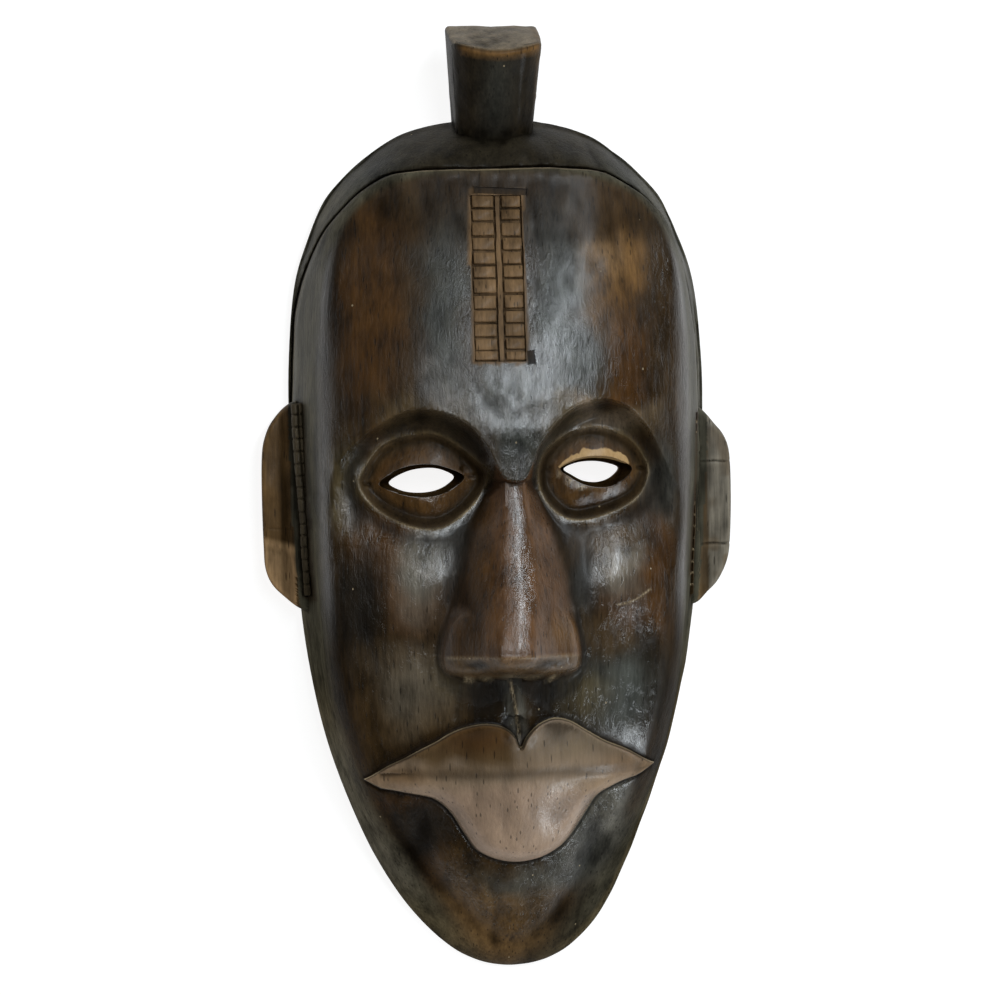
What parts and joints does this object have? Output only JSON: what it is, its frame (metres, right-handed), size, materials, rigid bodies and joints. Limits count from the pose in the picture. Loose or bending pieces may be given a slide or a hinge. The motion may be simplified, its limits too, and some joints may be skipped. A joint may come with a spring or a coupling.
{
  "type": "carved wooden face mask",
  "caption": "Hollow-backed carved wooden face mask with a hood, a topknot, board ears, pierced eyes, a long nose and wide raised lips.",
  "frame": {"origin": "centre of the bounding box, at the plane of the flat back rim that the mask lies on", "axes": "+Z is the face side, straight out of the flat back; +Y runs up the face to the topknot; +X is the viewer's right"},
  "size_m": [0.2264, 0.4535, 0.0961],
  "materials": {
    "waxed_wood": "dark brown stained hardwood, hand carved and waxed to a low shine, with lighter taupe lips and bare pale wood at chips"
  },
  "bodies": {
    "root": {"mask": "waxed_wood"}
  },
  "joints": []
}
